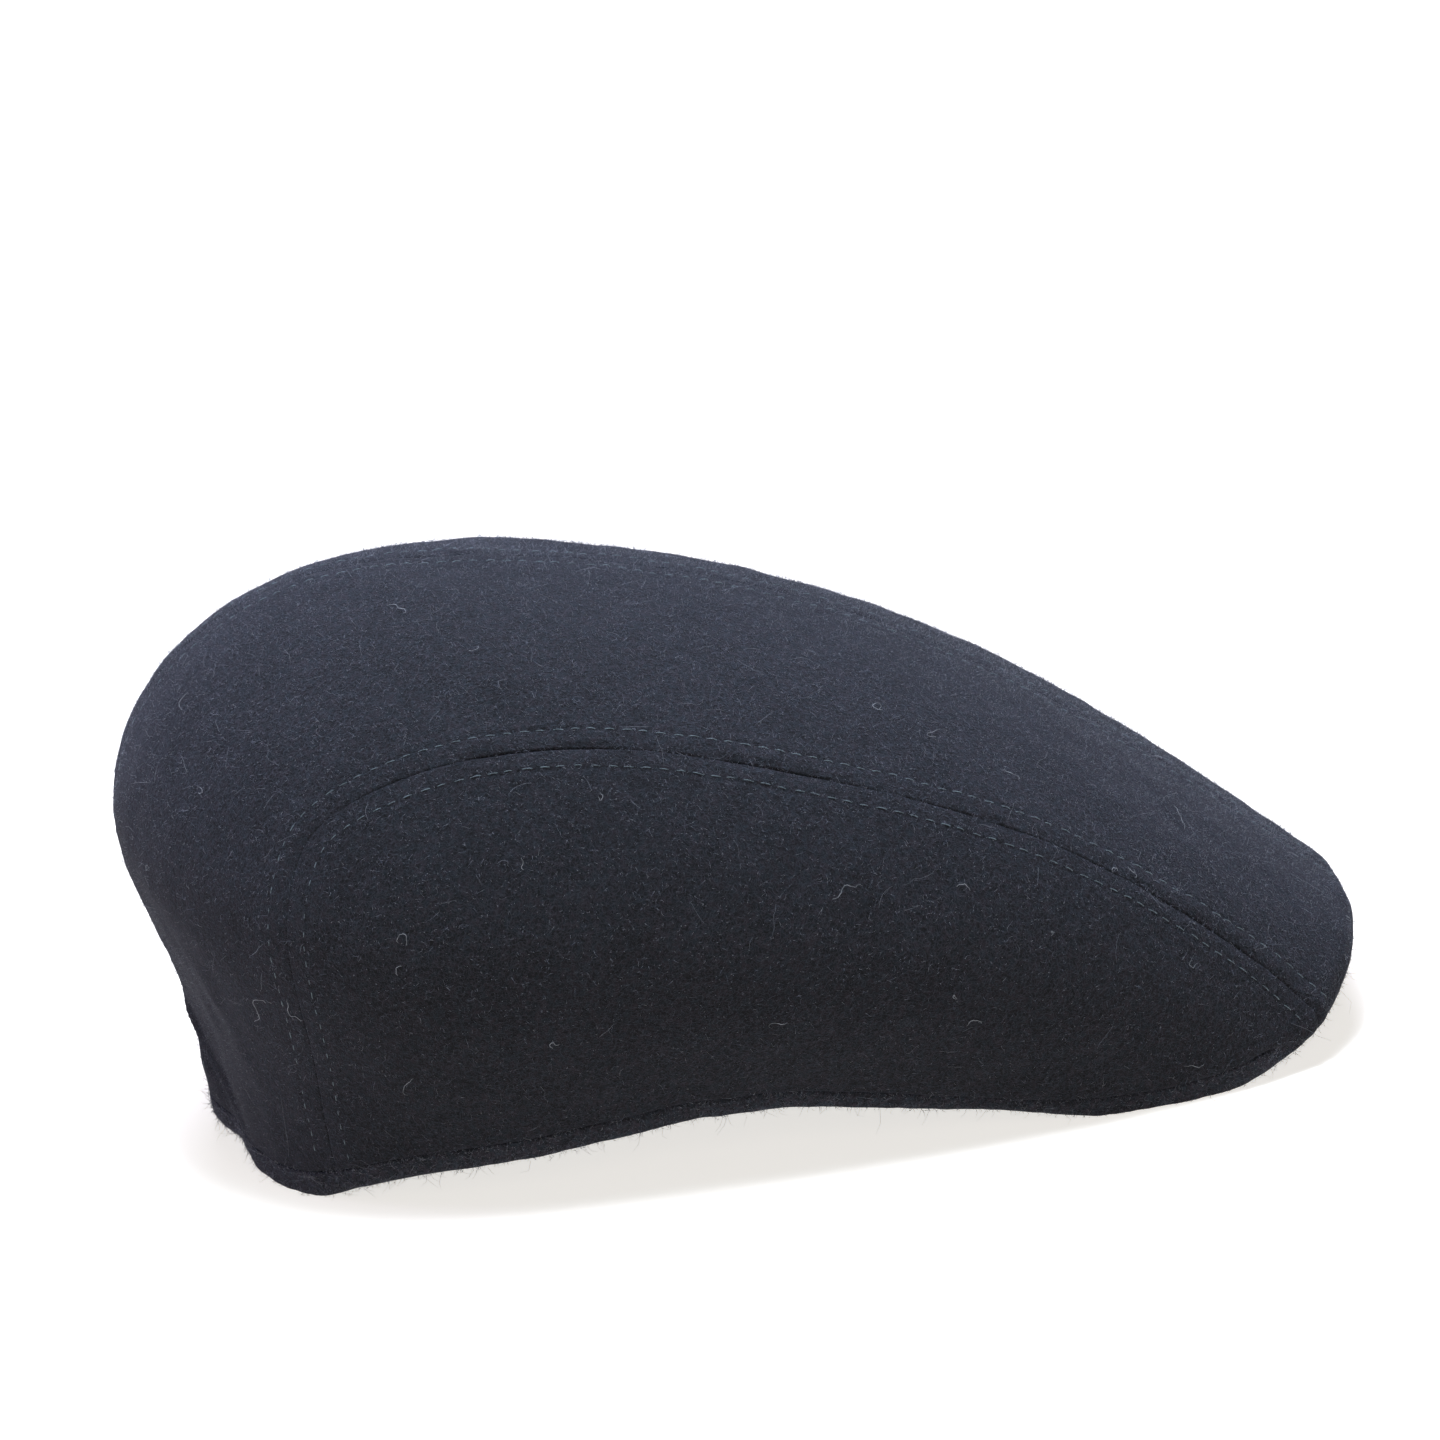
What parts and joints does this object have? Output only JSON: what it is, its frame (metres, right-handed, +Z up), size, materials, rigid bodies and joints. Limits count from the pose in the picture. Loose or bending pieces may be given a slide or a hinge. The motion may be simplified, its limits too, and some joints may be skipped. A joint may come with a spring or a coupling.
{
  "type": "flat cap",
  "caption": "Soft flat cap of felted wool whose full crown slopes forward to a short stiff peak, with a turned hem, open below for the head.",
  "frame": {"origin": "on the surface that the cap rests on, under the middle of its length and width", "axes": "+X towards the front of the peak, +Y towards the cap's left side, +Z up from the surface"},
  "size_m": [0.2828, 0.1782, 0.1299],
  "materials": {
    "wool_cloth": "thick felted wool, short fuzzy nap, dull navy",
    "covered_peak": "the same felted wool over a stiff core, dull navy",
    "hem_cloth": "the same felted wool, turned inside, dull navy"
  },
  "bodies": {
    "root": {"top_panel_right": "wool_cloth", "top_panel_left": "wool_cloth", "side_panel_right": "wool_cloth", "side_panel_left": "wool_cloth", "peak": "covered_peak", "turned_hem": "hem_cloth"}
  },
  "joints": []
}
